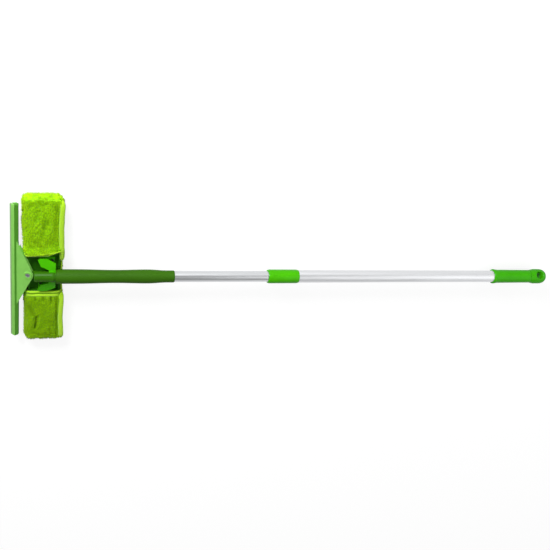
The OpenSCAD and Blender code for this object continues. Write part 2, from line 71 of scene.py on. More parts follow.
# The ledge behind the bar's ridge, darkened with painted shade: its depth and fall, and where and how
# softly the painted shade ends
LEDGE_BACK = 4.5 * MM
LEDGE_SLOPE = 4.6 / 4.5
LEDGE_LIFT = 0.25 * MM
LEDGE_END = 0.3 * MM
LEDGE_BLUR = 0.1 * MM

# The sleeve's cloth, which lies under the pile. Its outer sizes come from the CAD node.
PILE_ROOM = 3.4 * MM
FACE_LOW = 2.4 * MM
CLOTH_HALF = (sleeve_size.x / 2 - PILE_ROOM, sleeve_size.y / 2 - PILE_ROOM,
              (sleeve_size.z - PILE_ROOM - FACE_LOW) / 2)
CLOTH_T = 1.2 * MM
CLOTH_R = 8 * MM
CLOTH_STEP = 3.2 * MM
CUTOUT_HALF = 35 * MM
CUTOUT_FLOOR = 14 * MM

# The worn sleeve: crowned, skewed, shifted, wider towards the squeegee and tapered at one end,
# yet clear of the bar inside it and of the plate over it
CROWN = 1.4 * MM
CLOTH_SKEW = 0.014
CLOTH_SHIFT = -0.4 * MM
CLOTH_WIDE = 3.4 * MM
END_TAPER = 0.6 * MM
TAPER_FROM = 0.55
BAR_ROOM = 1.6 * MM
PLATE_ROOM = 1.5 * MM

# How the cloth is blown up: the simulated pressure, its steps, and how far a point may move
PUFF_PRESSURE = 4.0
PUFF_STEPS = 20
PUFF_MOST = 1.6 * MM

# How far the cut-out's edge on +Y is drawn back, from which X on, and over which lengths it fades
EDGE_DRAWN = 8 * MM
DRAWN_FROM = 3 * MM
DRAWN_ACROSS = 20 * MM
DRAWN_ALONG = 30 * MM
DRAWN_HEIGHT = 16 * MM

# The pile: strands to the square metre, their size, and how far their normals are the cloth's
PILE_DENSITY = 2.1e6
PILE_LENGTH = 3.5 * MM
PILE_WIDTH = 0.32 * MM
PILE_SKIN = 0.85
ROOT_SUNK = 0.4 * MM
FLOOR_CLEAR = 0.05 * MM
PILE_UNDER_PLATE = 0.6 * MM

# The part of its own patch in the bake map that a strand fills, and the room before it
PATCH_SIZE = 0.7
PATCH_ROOM = 0.15

# Strands stand in tufts: the tufts' spacing, lean and length, the share of its tuft's direction
# that a strand takes, how far its tip is pulled to the tuft's, and how much single strands vary
TUFT_STEP = 3.0 * MM
TUFT_LEAN = 0.28
TUFT_LONG = (0.78, 1.12)
TUFT_PULL = (0.25, 0.65)
OWN_SHARE = 0.72
TUFT_SHARE = 0.28
STRAND_LEAN = 0.13
STRAND_LONG = (0.72, 1.08)
STRAND_THICK = (0.8, 1.25)

# On the working face the pile is pressed short
FACE_BAND = 1.0 * MM
FACE_SHORT = 0.55

# Painted shade on the pile: how much darker the folds make it for each mm of depth, and the arm on -Y
# all over
FOLD_SHADE = 0.30
FOLD_SHADE_LIT = 0.15
ARM_SHADE = 0.20
FOLD_SHADE_MOST = 0.75

# The piping round the cut-out: its half width and half height, and how far it stands out
PIPING_HALF = 1.3 * MM
PIPING_HIGH = 1.7 * MM
PIPING_OUT = 0.4 * MM
PIPING_UP = 0.6 * MM
PIPING_HANG = 6 * MM

# The sewn band behind the cut-out's edge, the cloth left bare for it or for the piping alone, and
# how far down the cloth's round edge its back reaches
BAND_IN = 7.0 * MM
BAND_HALF = 2.4 * MM
BAND_HIGH = 1.5 * MM
BAND_SHORT = 2 * MM
BAND_SUNK = 0.2 * MM
BAND_FALL = 2.6 * MM
BAND_ROOM = 0.6 * MM
BARE_EDGE = 1.5 * MM
BARE_DRAWN = 0.5
BACK_DROP = 0.6 * CLOTH_R

# The rolled seam on the pole's side of each arm: its line, its roll, where it starts beyond the
# middle on either arm, how far each end dips in mm, and how much of it the pile leaves bare
SEAM_X = 27.4 * MM
SEAM_Z = 22.4 * MM
SEAM_ROLL = 4.0 * MM
SEAM_FLAT = 0.62
SEAM_BOW = 0.35
SEAM_RUN = 99 * MM
SEAM_STARTS = ((1, 22 * MM), (-1, 38 * MM))
SEAM_DIPS = (5.0, 2.5)
SEAM_STEP = 2 * MM
SEAM_BARE = 0.6
SEAM_COVERED = 13 * MM

# Everything sewn is laid in steps and wanders a little off its line: how far, and how many waves to
# the metre. An open tube's ends round off over some steps, to a tip that is a part of a step.
SEWN_STEP = 1.5 * MM
SEWN_WAVER = 0.5 * MM
SEWN_WAVES = 90
END_STEPS = 3
END_TIP = 0.15

# The foam pad: its mesh and its edges
FOAM_STEP = 4 * MM
FOAM_R = 1.4 * MM

# Folds pressed into the sleeve's back: start and end in mm, depth and half width in mm.
# A negative depth is a ridge.
FOLDS = (
    ((-10.5, -84), (-13.5, -114), 2.6, 2.6),
    ((18.6, -44), (21.0, -136), 1.9, 1.5),
    ((7.5, -108), (12.5, -131), 1.6, 1.6),
    ((-14.5, -44), (-12.5, -53), 1.5, 2.2),
    ((-2.0, -43), (-0.5, -55), 1.7, 2.6),
    ((11.0, -44), (12.0, -60), 1.5, 2.0),
    ((-24.0, -60), (-14.0, -86), 0.9, 3.5),
    ((-6.0, 60), (4.0, 104), 1.2, 4.0),
    ((15.0, 58), (17.0, 132), 1.3, 3.2),
    ((-16.0, 96), (-8.0, 118), 1.0, 3.0),
    ((-4.0, 41), (-9.0, 58), 1.0, 2.4),
    ((-40.0, 36), (40.0, 46), -2.5, 8.0),
)
# The cloth swells beside a fold by a share of its depth, some half widths away
FOLD_SWELL = 0.42
FOLD_SWELL_AT = 2.2
FOLD_RISE = 6 * MM

# Waves and dents of the worn cloth: how many to the metre, and their height in mm
WAVES = (38, 1.1)
DENTS = (90, 0.5)

# The stage: the floor's half size, its own grey and the glow that only straight rays see
FLOOR_HALF = 6
FLOOR_GLOW = 0.82
FLOOR_GREY = 0.30

# What straight rays see round the stage, and the soft light that the object gets from one side
WALL_WHITE = 1.0
CEILING_GREY = 0.26
CEILING_RISE = (0.25, 0.95)
FAR_WHITE = 0.8
FAR_START = (0.30, 0.52)
SKY_LIGHT = (0.06, 0.46)
SKY_FROM = Vector((-0.30, 0.92, 0.25)).normalized()

# Lamps: name, place, power in watts and side; all of them point at one place on the pole
LAMPS = (
    ("key", Vector((-0.42, 1.25, 0.62)), 25.0, 0.5),
    ("top", Vector((1.75, 0.3, 1.7)), 12.0, 2.0),
)
LAMP_AIM = Vector((0.30, 0, 0.02))


def srgb(r, g, b):
    """A colour written as 0 to 255 in the picture's terms, as linear RGBA."""
    def lin(v):
        v = v / 255
        return v / 12.92 if v <= 0.04045 else ((v + 0.055) / 1.055) ** 2.4
    return (lin(r), lin(g), lin(b), 1.0)


# Materials

def maths(tree, operation, a, b, clamp=False):
    """A maths node on two inputs, each a socket or a number."""
    node = tree.nodes.new("ShaderNodeMath")
    node.operation = operation
    node.use_clamp = clamp
    for value, socket in zip((a, b), node.inputs):
        if isinstance(value, float):
            socket.default_value = value
        else:
            tree.links.new(value, socket)
    return node.outputs["Value"]


def dot_with(tree, place, direction):
    """How far a place lies along a direction."""
    node = tree.nodes.new("ShaderNodeVectorMath")
    node.operation = "DOT_PRODUCT"
    node.inputs[1].default_value = direction
    tree.links.new(place, node.inputs[0])
    return node.outputs["Value"]


def blend(tree, factor, colour, other):
    """A colour socket mixed with another colour by a factor."""
    node = tree.nodes.new("ShaderNodeMix")
    node.data_type = "RGBA"
    node.inputs[7].default_value = other
    tree.links.new(factor, node.inputs["Factor"])
    tree.links.new(colour, node.inputs[6])
    return node.outputs[2]


class Nodes:
    """A material's node tree with short calls for what every material here uses."""

    def __init__(self, name):
        self.material = bpy.data.materials.new(name)
        self.material.use_nodes = True
        self.tree = self.material.node_tree
        self.shader = self.tree.nodes["Principled BSDF"]

    def add(self, kind, **inputs):
        node = self.tree.nodes.new(kind)
        for key, value in inputs.items():
            node.inputs[key.replace("_", " ")].default_value = value
        return node

    def link(self, out, into):
        self.tree.links.new(out, into)

    def place(self, stretch=(1, 1, 1)):
        """Object coordinates, drawn out along an axis by a scale under 1."""
        coords = self.tree.nodes.new("ShaderNodeTexCoord")
        mapping = self.tree.nodes.new("ShaderNodeMapping")
        mapping.inputs["Scale"].default_value = stretch
        self.link(coords.outputs["Object"], mapping.inputs["Vector"])
        return mapping.outputs["Vector"]

    def noise(self, scale, detail=4.0, stretch=(1, 1, 1), rough=0.55):
        node = self.add("ShaderNodeTexNoise", Scale=scale, Detail=detail, Roughness=rough)
        self.link(self.place(stretch), node.inputs["Vector"])
        return node.outputs["Fac"]

    def ramp(self, factor, stops):
        node = self.tree.nodes.new("ShaderNodeValToRGB")
        ramp = node.color_ramp
        while len(ramp.elements) < len(stops):
            ramp.elements.new(0.5)
        for element, (at, colour) in zip(ramp.elements, stops):
            element.position = at
            element.color = colour
        self.link(factor, node.inputs["Fac"])
        return node.outputs["Color"]

    def bump(self, height, strength, distance, below=None):
        node = self.add("ShaderNodeBump", Strength=strength, Distance=distance)
        self.link(height, node.inputs["Height"])
        if below is not None:
            self.link(below, node.inputs["Normal"])
        return node.outputs["Normal"]

    def rough(self, factor, low, high):
        node = self.tree.nodes.new("ShaderNodeMapRange")
        node.inputs["To Min"].default_value = low
        node.inputs["To Max"].default_value = high
        self.link(factor, node.inputs["Value"])
        self.link(node.outputs["Result"], self.shader.inputs["Roughness"])

    def set(self, **sockets):
        for key, value in sockets.items():
            self.shader.inputs[key.replace("_", " ")].default_value = value


def shade(colour, factor):
    """A colour made lighter or darker by a factor."""
    return tuple(min(1.0, c * factor) for c in colour[:3]) + (1.0,)


def plastic(name, colour, rough=(0.34, 0.46), grain=0.12, shine=0.16):
    """Moulded plastic: slight mottling, fine spark-eroded grain and a satin shine."""
    n = Nodes(name)
    cloudy = n.noise(45.0, 3.0)
    n.link(n.ramp(cloudy, [(0.3, shade(colour, 0.93)), (0.7, shade(colour, 1.06))]),
           n.shader.inputs["Base Color"])
    n.rough(n.noise(220.0, 5.0), *rough)
    fine = n.bump(n.noise(2600.0, 2.0), grain, 0.05 * MM)
    soft = n.bump(n.noise(60.0, 2.0), 0.10, 0.3 * MM, fine)
    n.link(soft, n.shader.inputs["Normal"])
    n.set(Specular_IOR_Level=shine)
    return n.material


def ledge_shaded_plastic(name, colour, ledge):
    """The squeegee frame's plastic, with painted shade darkening the ledge that slopes down behind the
    bar's ridge.
    """
    material = plastic(name, colour)
    tree = material.node_tree
    base_colour = tree.nodes["Principled BSDF"].inputs["Base Color"]
    mottled = base_colour.links[0].from_socket
    coords = tree.nodes.new("ShaderNodeTexCoord")

    def beyond(direction, at):
        """1 where the surface lies past a plane square to a direction of the squeegee's own frame."""
        c, s = math.cos(SQUEEGEE_TILT), math.sin(SQUEEGEE_TILT)
        along = Vector((direction[0] * c - direction[1] * s, 0, direction[0] * s + direction[1] * c))
        step = tree.nodes.new("ShaderNodeMapRange")
        level = at + along.dot(SCREW)
        step.inputs["From Min"].default_value = level - LEDGE_BLUR
        step.inputs["From Max"].default_value = level + LEDGE_BLUR
        tree.links.new(dot_with(tree, coords.outputs["Object"], along), step.inputs["Value"])
        return step.outputs["Result"]

    behind = beyond((1, 0), -PLATE_REACH - LEDGE_BACK)
    above = beyond((LEDGE_SLOPE, 1), LEDGE_LIFT - LEDGE_SLOPE * PLATE_REACH)
    past = beyond((1, 0), -PLATE_REACH + LEDGE_END)
    on_slope = maths(tree, "SUBTRACT", behind, above, clamp=True)
    ledge_shade_mask = maths(tree, "SUBTRACT", on_slope, past, clamp=True)
    # Painted shade: the ledge gets the darker green in place of the mottled colour.
    tree.links.new(blend(tree, ledge_shade_mask, mottled, ledge), base_colour)
    return material


def soft_touch(name, colour):
    """The grip's soft-touch skin: matt, with a fine leather-like stipple and faint wear."""
    n = Nodes(name)
    worn = n.noise(30.0, 6.0, (0.4, 1, 1))
    n.link(n.ramp(worn, [(0.35, shade(colour, 0.9)), (0.75, shade(colour, 1.12))]),
           n.shader.inputs["Base Color"])
    n.rough(n.noise(130.0, 4.0), 0.48, 0.62)
    stipple = n.tree.nodes.new("ShaderNodeTexVoronoi")
    stipple.inputs["Scale"].default_value = 900.0
    n.link(n.place(), stipple.inputs["Vector"])
    n.link(n.bump(stipple.outputs["Distance"], 0.22, 0.08 * MM), n.shader.inputs["Normal"])
    n.set(Specular_IOR_Level=0.12)
    return n.material


def anodised(name, colour, rough):
    """Drawn and anodised aluminium tube: fine lines along the pole."""
    n = Nodes(name)
    drawn = n.noise(900.0, 3.0, (0.02, 1, 1))
    n.link(n.ramp(drawn, [(0.25, shade(colour, 0.93)), (0.75, colour)]),
           n.shader.inputs["Base Color"])
    n.rough(n.noise(300.0, 4.0, (0.05, 1, 1)), rough - 0.05, rough + 0.06)
    n.link(n.bump(drawn, 0.08, 0.03 * MM), n.shader.inputs["Normal"])
    n.set(Metallic=1.0, Anisotropic=0.4)
    return n.material


def steel(name):
    n = Nodes(name)
    spun = n.noise(700.0, 3.0)
    n.link(n.ramp(spun, [(0.3, srgb(150, 152, 155)), (0.7, srgb(190, 192, 195))]),
           n.shader.inputs["Base Color"])
    n.rough(spun, 0.22, 0.38)
    n.set(Metallic=1.0)
    return n.material


def blade_rubber(name):
    n = Nodes(name)
    dusty = n.noise(80.0, 5.0, (1, 0.3, 1))
    n.link(n.ramp(dusty, [(0.3, srgb(136, 172, 116)), (0.7, srgb(158, 190, 138))]),
           n.shader.inputs["Base Color"])
    n.rough(n.noise(400.0, 3.0), 0.5, 0.68)
    n.link(n.bump(n.noise(1500.0, 2.0, (1, 0.1, 1)), 0.1, 0.04 * MM), n.shader.inputs["Normal"])
    n.set(Specular_IOR_Level=0.35)
    return n.material


def open_foam(name):
    n = Nodes(name)
    cells = n.tree.nodes.new("ShaderNodeTexVoronoi")
    cells.inputs["Scale"].default_value = 800.0
    n.link(n.place(), cells.inputs["Vector"])
    n.link(n.ramp(cells.outputs["Distance"],
                  [(0.1, srgb(170, 172, 150)), (0.6, srgb(226, 228, 210))]),
           n.shader.inputs["Base Color"])
    n.link(n.bump(cells.outputs["Distance"], 0.6, 0.4 * MM), n.shader.inputs["Normal"])
    n.set(Roughness=0.9, Specular_IOR_Level=0.1)
    return n.material


def pile_material(name):
    """Microfibre strands: dark at the root, bright at the tip, mottled from tuft to tuft and
    darker with painted shade in the folds and all over the arm on -Y."""
    n = Nodes(name)
    along = n.tree.nodes.new("ShaderNodeAttribute")
    along.attribute_name = "along"
    root_tip = n.ramp(along.outputs["Fac"], [
        (0.0, srgb(150, 218, 0)), (0.4, srgb(186, 248, 4)), (1.0, srgb(210, 255, 30))])
    tone = n.tree.nodes.new("ShaderNodeMix")
    tone.data_type = "RGBA"
    tone.blend_type = "MULTIPLY"
    tone.inputs["Factor"].default_value = 1.0
    patches = n.ramp(n.noise(55.0, 5.0, (1, 1, 1), 0.6), [
        (0.3, (0.78, 0.85, 0.6, 1)), (0.55, (1.0, 1.0, 1.0, 1))])
    n.link(root_tip, tone.inputs[6])
    n.link(patches, tone.inputs[7])
    painted_shade = n.tree.nodes.new("ShaderNodeAttribute")
    painted_shade.attribute_name = "painted_shade"
    # Painted shade: the strands' colour darkens towards a dark green in the folds and over the arm on
    # -Y.
    worn = blend(n.tree, painted_shade.outputs["Fac"], tone.outputs[2], srgb(80, 132, 0))
    n.link(worn, n.shader.inputs["Base Color"])
    n.set(Roughness=0.75, Specular_IOR_Level=0.1, Sheen_Weight=0.4, Sheen_Roughness=0.4,
          Sheen_Tint=(0.7, 1.0, 0.2, 1.0))
    return n.material


def cloth_material(name, colour, pitch):
    """Knitted backing or woven tape: crossed waves make the weave."""
    n = Nodes(name)
    across = n.add("ShaderNodeTexWave", Scale=pitch, Distortion=0.6)
    along = n.add("ShaderNodeTexWave", Scale=pitch * 0.9, Distortion=0.8)
    along.bands_direction = "Y"
    for wave in (across, along):
        n.link(n.place(), wave.inputs["Vector"])
    weave = maths(n.tree, "MULTIPLY", across.outputs["Fac"], along.outputs["Fac"])
    n.link(n.ramp(weave, [(0.0, shade(colour, 0.7)), (0.6, colour)]), n.shader.inputs["Base Color"])
    n.link(n.bump(weave, 0.5, 0.2 * MM), n.shader.inputs["Normal"])
    n.set(Roughness=0.85, Specular_IOR_Level=0.2, Sheen_Weight=0.3, Sheen_Roughness=0.5)
    return n.material


# The frame's ledge gets a darker green as painted shade.
light_plastic = ledge_shaded_plastic("light_green_plastic", srgb(132, 202, 90), ledge=srgb(80, 150, 40))
dark_plastic = plastic("dark_green_plastic", srgb(50, 104, 6), shine=0.1)
bright_plastic = plastic("bright_green_plastic", srgb(71, 182, 1), (0.26, 0.38), 0.08, 0.12)
end_plastic = plastic("end_green_plastic", srgb(62, 178, 2), (0.28, 0.40), 0.08, 0.12)
bar_plastic = plastic("bar_green_plastic", srgb(42, 108, 10), shine=0.1)
stop_plastic = plastic("stop_green_plastic", srgb(74, 132, 40))
white_nylon = plastic("white_nylon", srgb(226, 223, 212), (0.4, 0.5))
black_nylon = plastic("black_nylon", srgb(38, 40, 42), (0.4, 0.5))
grip_skin = soft_touch("dark_green_grip", srgb(50, 98, 4))
inner_metal = anodised("inner_tube_metal", srgb(214, 216, 218), 0.30)
outer_metal = anodised("outer_tube_metal", srgb(222, 223, 225), 0.42)
screw_steel = steel("steel")
rubber = blade_rubber("blade_rubber")
foam_cells = open_foam("foam")
pile_colour = pile_material("lime_pile")
backing = cloth_material("lime_backing", srgb(150, 214, 8), 500.0)
tape = cloth_material("lime_binding", srgb(190, 246, 36), 420.0)

# The finish of each CAD node that stays
DRESS = {
    "squeegee_rubber": rubber, "squeegee_frame": light_plastic, "rubber_stops": stop_plastic,
    "frame_screw": screw_steel, "frame_nut": screw_steel, "neck": dark_plastic,
    "yoke": bright_plastic, "ring_screw": screw_steel, "pad_bar": bar_plastic,
    "bar_screws": screw_steel, "inner_tube": inner_metal, "handle_grip": grip_skin,
    "neck_rivet": screw_steel, "cam_plug": black_nylon, "plug_rivet": screw_steel,
    "cam_ring": white_nylon, "guide_disc": white_nylon, "disc_screw": screw_steel,
    "tube_collar": bright_plastic, "collar_bush": white_nylon, "outer_tube": outer_metal,
    "end_grip": end_plastic, "hanger_cap": end_plastic,
}


# Moulded pieces whose sharp edges are broken a little, with the size of the break in mm
BROKEN_EDGES = {
    "squeegee_frame": 0.45, "neck": 0.35, "yoke": 0.35, "pad_bar": 0.4, "hanger_cap": 0.45,
    "end_grip": 0.35, "tube_collar": 0.35, "rubber_stops": 0.3,
}


def dress_cad_nodes():
    """Each CAD node that stays gets its finish, and the moulded ones soft edges."""
    for node, finish in DRESS.items():
        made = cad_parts[node]
        made.data.materials.clear()
        made.data.materials.append(finish)
        if node in BROKEN_EDGES:
            weld = made.modifiers.new("weld", "WELD")
            weld.merge_threshold = 0.01 * MM
            edge = made.modifiers.new("edge", "BEVEL")
            edge.width = BROKEN_EDGES[node] * MM
            edge.segments = 2
            edge.limit_method = "ANGLE"
            edge.angle_limit = math.radians(40)
            edge.harden_normals = True


# Objects and meshes

def add_object(name, data):
    made = bpy.data.objects.new(name, data)
    bpy.context.scene.collection.objects.link(made)
    return made


def mesh_of(name, verts, faces):
    data = bpy.data.meshes.new(name)
    data.from_pydata([tuple(v) for v in verts], [], faces)
    data.update()
    return data


def mesh_from(name, grid):
    """A mesh of a bmesh, which is then freed."""
    data = bpy.data.meshes.new(name)
    grid.to_mesh(data)
    grid.free()
    return data


def dress(made, material):
    """One material all over, shaded smooth."""
    made.data.materials.append(material)
    for p in made.data.polygons:
        p.use_smooth = True


def box_grid(half, step):
    """A closed box of even quads, centred on the origin, as a bmesh."""
    counts = [max(2, round(2 * h / step)) for h in half]
    grid = bmesh.new()
    for axis in range(3):
        u, v = (axis + 1) % 3, (axis + 2) % 3
        for side in (-1, 1):
            rows = []
            for i in range(counts[u] + 1):
                row = []
                for j in range(counts[v] + 1):
                    p = [0.0] * 3
                    p[axis] = side * half[axis]
                    p[u] = half[u] * (2 * i / counts[u] - 1)
                    p[v] = half[v] * (2 * j / counts[v] - 1)
                    row.append(grid.verts.new(p))
                rows.append(row)
            for i in range(counts[u]):
                for j in range(counts[v]):
                    quad = [rows[i][j], rows[i + 1][j], rows[i + 1][j + 1], rows[i][j + 1]]
                    grid.faces.new(quad if side > 0 else quad[::-1])
    bmesh.ops.remove_doubles(grid, verts=grid.verts, dist=1e-6)
    return grid


def rounded(p, half, r):
    """A point of a box's surface moved onto the same box with round edges."""
    core = Vector([max(-(h - r), min(h - r, c)) for c, h in zip(p, half)])
    out = p - core
    return core + out.normalized() * r if out.length > 1e-9 else p


# The sleeve

def drawn_back(p):
    """How far the cut-out's edge on +Y is drawn back towards the pole's side of the arm."""
    if p.y < CUTOUT_HALF - EDGE_DRAWN:
        return 0.0
    across = min(1.0, max(0.0, (p.x - DRAWN_FROM) / DRAWN_ACROSS))
    along = min(1.0, max(0.0, 1 - (p.y - CUTOUT_HALF) / DRAWN_ALONG))
    tall = min(1.0, max(0.0, p.z / DRAWN_HEIGHT))
    return EDGE_DRAWN * across * across * (3 - 2 * across) * along * tall


def make_cloth():
    """The sleeve's backing: an open bag of cloth round the bar, with the cut-out in its back."""
    half = CLOTH_HALF
    grid = box_grid(half, CLOTH_STEP)
    for v in grid.verts:
        v.co = rounded(v.co, half, CLOTH_R)
        crown = (1 - (v.co.x / half[0]) ** 2) * (1 - (v.co.y / half[1]) ** 4)
        if v.co.z > 0:
            v.co.z += CROWN * (crown - 0.5) * v.co.z / half[2]
        v.co.x += CLOTH_SHIFT - CLOTH_SKEW * v.co.y - CLOTH_WIDE * max(0.0, -v.co.x) / half[0]
        if v.co.x < 0:
            v.co.x += END_TAPER * max(0.0, (-v.co.y / half[1] - TAPER_FROM) / (1 - TAPER_FROM))
        v.co.z += FACE_LOW + half[2]
    gone = [f for f in grid.faces
            if abs(f.calc_center_median().y) < CUTOUT_HALF and f.calc_center_median().z > CUTOUT_FLOOR]
    bmesh.ops.delete(grid, geom=gone, context="FACES")
    for v in grid.verts:
        v.co.y += drawn_back(v.co)
    return add_object("sleeve_backing", mesh_from("sleeve_backing", grid))


def points_of(obj):
    flat = np.zeros(len(obj.data.vertices) * 3)
    obj.data.vertices.foreach_get("co", flat)
    return flat.reshape(-1, 3)


def normals_of(obj):
    return np.array([v.normal[:] for v in obj.data.vertices])


def set_points(obj, points):
    obj.data.vertices.foreach_set("co", points.ravel())
    obj.data.update()


def settle(obj):
    """Blows the cloth up slightly as simulated fabric, held at the edge of the cut-out."""
    start = points_of(obj)
    edge = bmesh.new()
    edge.from_mesh(obj.data)
    held = [v.index for v in edge.verts if v.is_boundary]
    edge.free()
    pins = obj.vertex_groups.new(name="pins")
    pins.add(held, 1.0, "REPLACE")
    cloth = obj.modifiers.new("cloth", "CLOTH")
    cloth.settings.quality = 6
    cloth.settings.mass = 0.2
    cloth.settings.tension_stiffness = 12
    cloth.settings.compression_stiffness = 6
    cloth.settings.bending_stiffness = 0.4
    cloth.settings.vertex_group_mass = "pins"
    cloth.settings.use_pressure = True
    cloth.settings.uniform_pressure_force = PUFF_PRESSURE
    cloth.settings.effector_weights.gravity = 0
    cloth.point_cache.frame_end = PUFF_STEPS
    scene = bpy.context.scene
    for i in range(1, PUFF_STEPS + 1):
        scene.frame_set(i)
    graph = bpy.context.evaluated_depsgraph_get()
    swollen = np.array([v.co[:] for v in obj.evaluated_get(graph).data.vertices])
    obj.modifiers.remove(cloth)
    scene.frame_set(1)
    moved = swollen - start
    reach = np.maximum(np.linalg.norm(moved, axis=1, keepdims=True), 1e-12)
    set_points(obj, start + moved * np.minimum(1.0, PUFF_MOST / reach))
    obj.vertex_groups.clear()


def apply_modifiers(obj):
    graph = bpy.context.evaluated_depsgraph_get()
    done = bpy.data.meshes.new_from_object(obj.evaluated_get(graph))
    obj.modifiers.clear()
    obj.data = done


def squeegee_frame_of(points):
    """Points in the squeegee's own frame, whose origin is on the screw."""
    c, s = math.cos(SQUEEGEE_TILT), math.sin(SQUEEGEE_TILT)
    d = points - np.array(SCREW)
    return np.stack([d[:, 0] * c + d[:, 2] * s, d[:, 1], -d[:, 0] * s + d[:, 2] * c], 1)


def under_plate(points, gap):
    """Points of the sleeve pushed down to stay under the squeegee's plate."""
    local = squeegee_frame_of(points)
    back = -(PLATE_REACH + PLATE_LAP)
    share = np.clip((local[:, 0] - back) / (PLATE_R - back), 0, 1)
    half = PLATE_HALF * (1 - share) + PLATE_R * share + gap * 2
    inside = (local[:, 0] < PLATE_R + gap) & (np.abs(local[:, 1]) < half)
    over = np.maximum(local[:, 2] + RIM_H + gap, 0) * inside
    points = points.copy()
    points[:, 2] -= over / math.cos(SQUEEGEE_TILT)
    return points


def clear_of_bar(points):
    """Points of the sleeve pushed out to the skin of the bar inside it."""
    low, high = (np.array(corner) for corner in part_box("pad_bar"))
    low, high = low - BAR_ROOM, high + BAR_ROOM
    points = points.copy()
    for i in np.flatnonzero(np.all((points > low) & (points < high), axis=1)):
        face = int(np.argmin(np.concatenate([points[i] - low, high - points[i]])))
        points[i, face % 3] = (low if face < 3 else high)[face % 3]
    return points


def fold_depth(points):
    """How far the folds press each point of the back in; less than nothing where it swells."""
    depth = np.zeros(len(points))
    for start, end, deep, wide in FOLDS:
        a, b = np.array(start) * MM, np.array(end) * MM
        run = b - a
        share = np.clip(((points[:, :2] - a) @ run) / (run @ run), 0, 1)
        off = np.linalg.norm(points[:, :2] - a - share[:, None] * run, axis=1) / (wide * MM)
        fade = 1 - (2 * share - 1) ** 6
        swell = FOLD_SWELL * max(deep, 0) * np.exp(-(off - FOLD_SWELL_AT) ** 2)
        depth += fade * MM * (deep * np.exp(-off ** 2) - swell)
    return depth * np.clip((points[:, 2] - CUTOUT_FLOOR) / FOLD_RISE, 0, 1)


def wrinkle(points, normals):
    """Soft waves, dents and the pressed-in folds of the worn sleeve."""
    shift = -fold_depth(points)
    for i, p in enumerate(points):
        v = Vector(p)
        waves = noise.noise(v * WAVES[0]) * WAVES[1]
        dents = noise.noise(v * DENTS[0] + Vector((3, 1, 7))) * DENTS[1]
        shift[i] += (waves + dents) * MM
    return points + normals * shift[:, None]


def unit(vectors):
    return vectors / np.linalg.norm(vectors, axis=-1, keepdims=True)


def pile_ground(cloth, side):
    """The triangles of one arm's cloth that carry pile, as the numbers of their corners."""
    data = cloth.data
    data.calc_loop_triangles()
    corners = np.zeros(len(data.loop_triangles) * 3, int)
    data.loop_triangles.foreach_get("vertices", corners)
    corners = corners.reshape(-1, 3)
    a, b, c = (points_of(cloth)[corners[:, k]] for k in range(3))
    x, y, z = ((a + b + c) / 3).T
    back = z > sleeve_high.z - PILE_ROOM - BACK_DROP
    drawn = np.array([drawn_back(Vector(p)) for p in zip(x, y, z)])
    bare = BARE_EDGE + BARE_DRAWN * drawn if side > 0 else BAND_IN + BAND_HALF + BAND_ROOM
    band = back & (np.abs(y - drawn) < CUTOUT_HALF + bare)
    seam = back & (x + CLOTH_SKEW * y > SEAM_X - SEAM_ROLL * SEAM_BARE)
    seam &= np.abs(y) < CUTOUT_HALF + SEAM_RUN - SEAM_COVERED
    return corners[(y * side >= 0) & ~band & ~seam]


def grow_pile(cloth, side, seed):
    """The strands of one arm of the sleeve, as one mesh of slim three-sided spikes in tufts."""
    rng = np.random.default_rng(seed)
    corners = pile_ground(cloth, side)
    co, no = points_of(cloth), normals_of(cloth)
    a, b, c = (co[corners[:, k]] for k in range(3))
    area = np.linalg.norm(np.cross(b - a, c - a), axis=1) / 2
    count = int(area.sum() * PILE_DENSITY)
    tri = rng.choice(len(area), count, p=area / area.sum())
    u, v = rng.random(count), rng.random(count)
    flip = u + v > 1
    u[flip], v[flip] = 1 - u[flip], 1 - v[flip]
    w = 1 - u - v
    root = a[tri] * w[:, None] + b[tri] * u[:, None] + c[tri] * v[:, None]
    out = unit(no[corners[tri, 0]] * w[:, None] + no[corners[tri, 1]] * u[:, None]
               + no[corners[tri, 2]] * v[:, None])

    # tufts: every strand leans towards the tip of the nearest tuft
    tufts = max(1, int(area.sum() / TUFT_STEP ** 2))
    centre = rng.choice(count, tufts, replace=False)
    tree = kdtree.KDTree(tufts)
    for i, k in enumerate(centre):
        tree.insert(root[k], i)
    tree.balance()
    near = np.array([tree.find(p)[1] for p in root])
    tuft_root, tuft_out = root[centre][near], out[centre][near]
    tuft_lean = rng.normal(0, TUFT_LEAN, (tufts, 3))[near]
    tuft_long = rng.uniform(*TUFT_LONG, tufts)[near]
    direction = unit(out * OWN_SHARE + tuft_out * TUFT_SHARE + tuft_lean
                     + rng.normal(0, STRAND_LEAN, (count, 3)))
    length = PILE_LENGTH * tuft_long * rng.uniform(*STRAND_LONG, count)
    length *= np.where(root[:, 2] < FACE_LOW + FACE_BAND, FACE_SHORT, 1.0)
    tip = root + direction * length[:, None]
    pull = rng.uniform(*TUFT_PULL, count)[:, None]
    tip += ((tuft_root + tuft_out * length[:, None]) - tip) * pull
    tip = under_plate(tip, PILE_UNDER_PLATE)
    tip[:, 2] = np.maximum(tip[:, 2], FLOOR_CLEAR)
    root = root - out * ROOT_SUNK

    verts, normals = strand_points(root, tip, out, rng)
    # Painted shade: the folds darken the strands, more on the arm on -Y than on the lit arm on +Y, and
    # the arm on -Y is darkened all over.
    tone, base = (FOLD_SHADE, ARM_SHADE) if side < 0 else (FOLD_SHADE_LIT, 0)
    painted_shade = np.clip(fold_depth(root) * tone / MM, 0, FOLD_SHADE_MOST) + base
    return spikes("sleeve_pile_" + ("a" if side > 0 else "b"), verts, normals, painted_shade)


